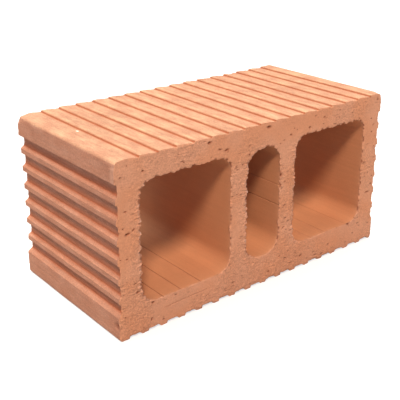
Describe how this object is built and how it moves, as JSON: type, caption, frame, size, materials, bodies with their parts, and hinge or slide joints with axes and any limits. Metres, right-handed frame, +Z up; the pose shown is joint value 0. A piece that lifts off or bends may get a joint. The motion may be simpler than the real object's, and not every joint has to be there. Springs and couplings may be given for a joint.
{
  "type": "hollow clay block",
  "caption": "Hollow fired clay building block with wide and narrow cells running through it, a finely stepped top, a toothed bottom and ribbed sides.",
  "frame": {"origin": "middle of the toothed face that the block lies on", "axes": "+X across the cells, +Y along the cells away from the near wire-cut face, +Z up"},
  "size_m": [0.4, 0.2, 0.2],
  "materials": {
    "fired_clay": "matte, dry, unglazed fired clay"
  },
  "bodies": {
    "root": {"clay_block": "fired_clay"}
  },
  "joints": []
}
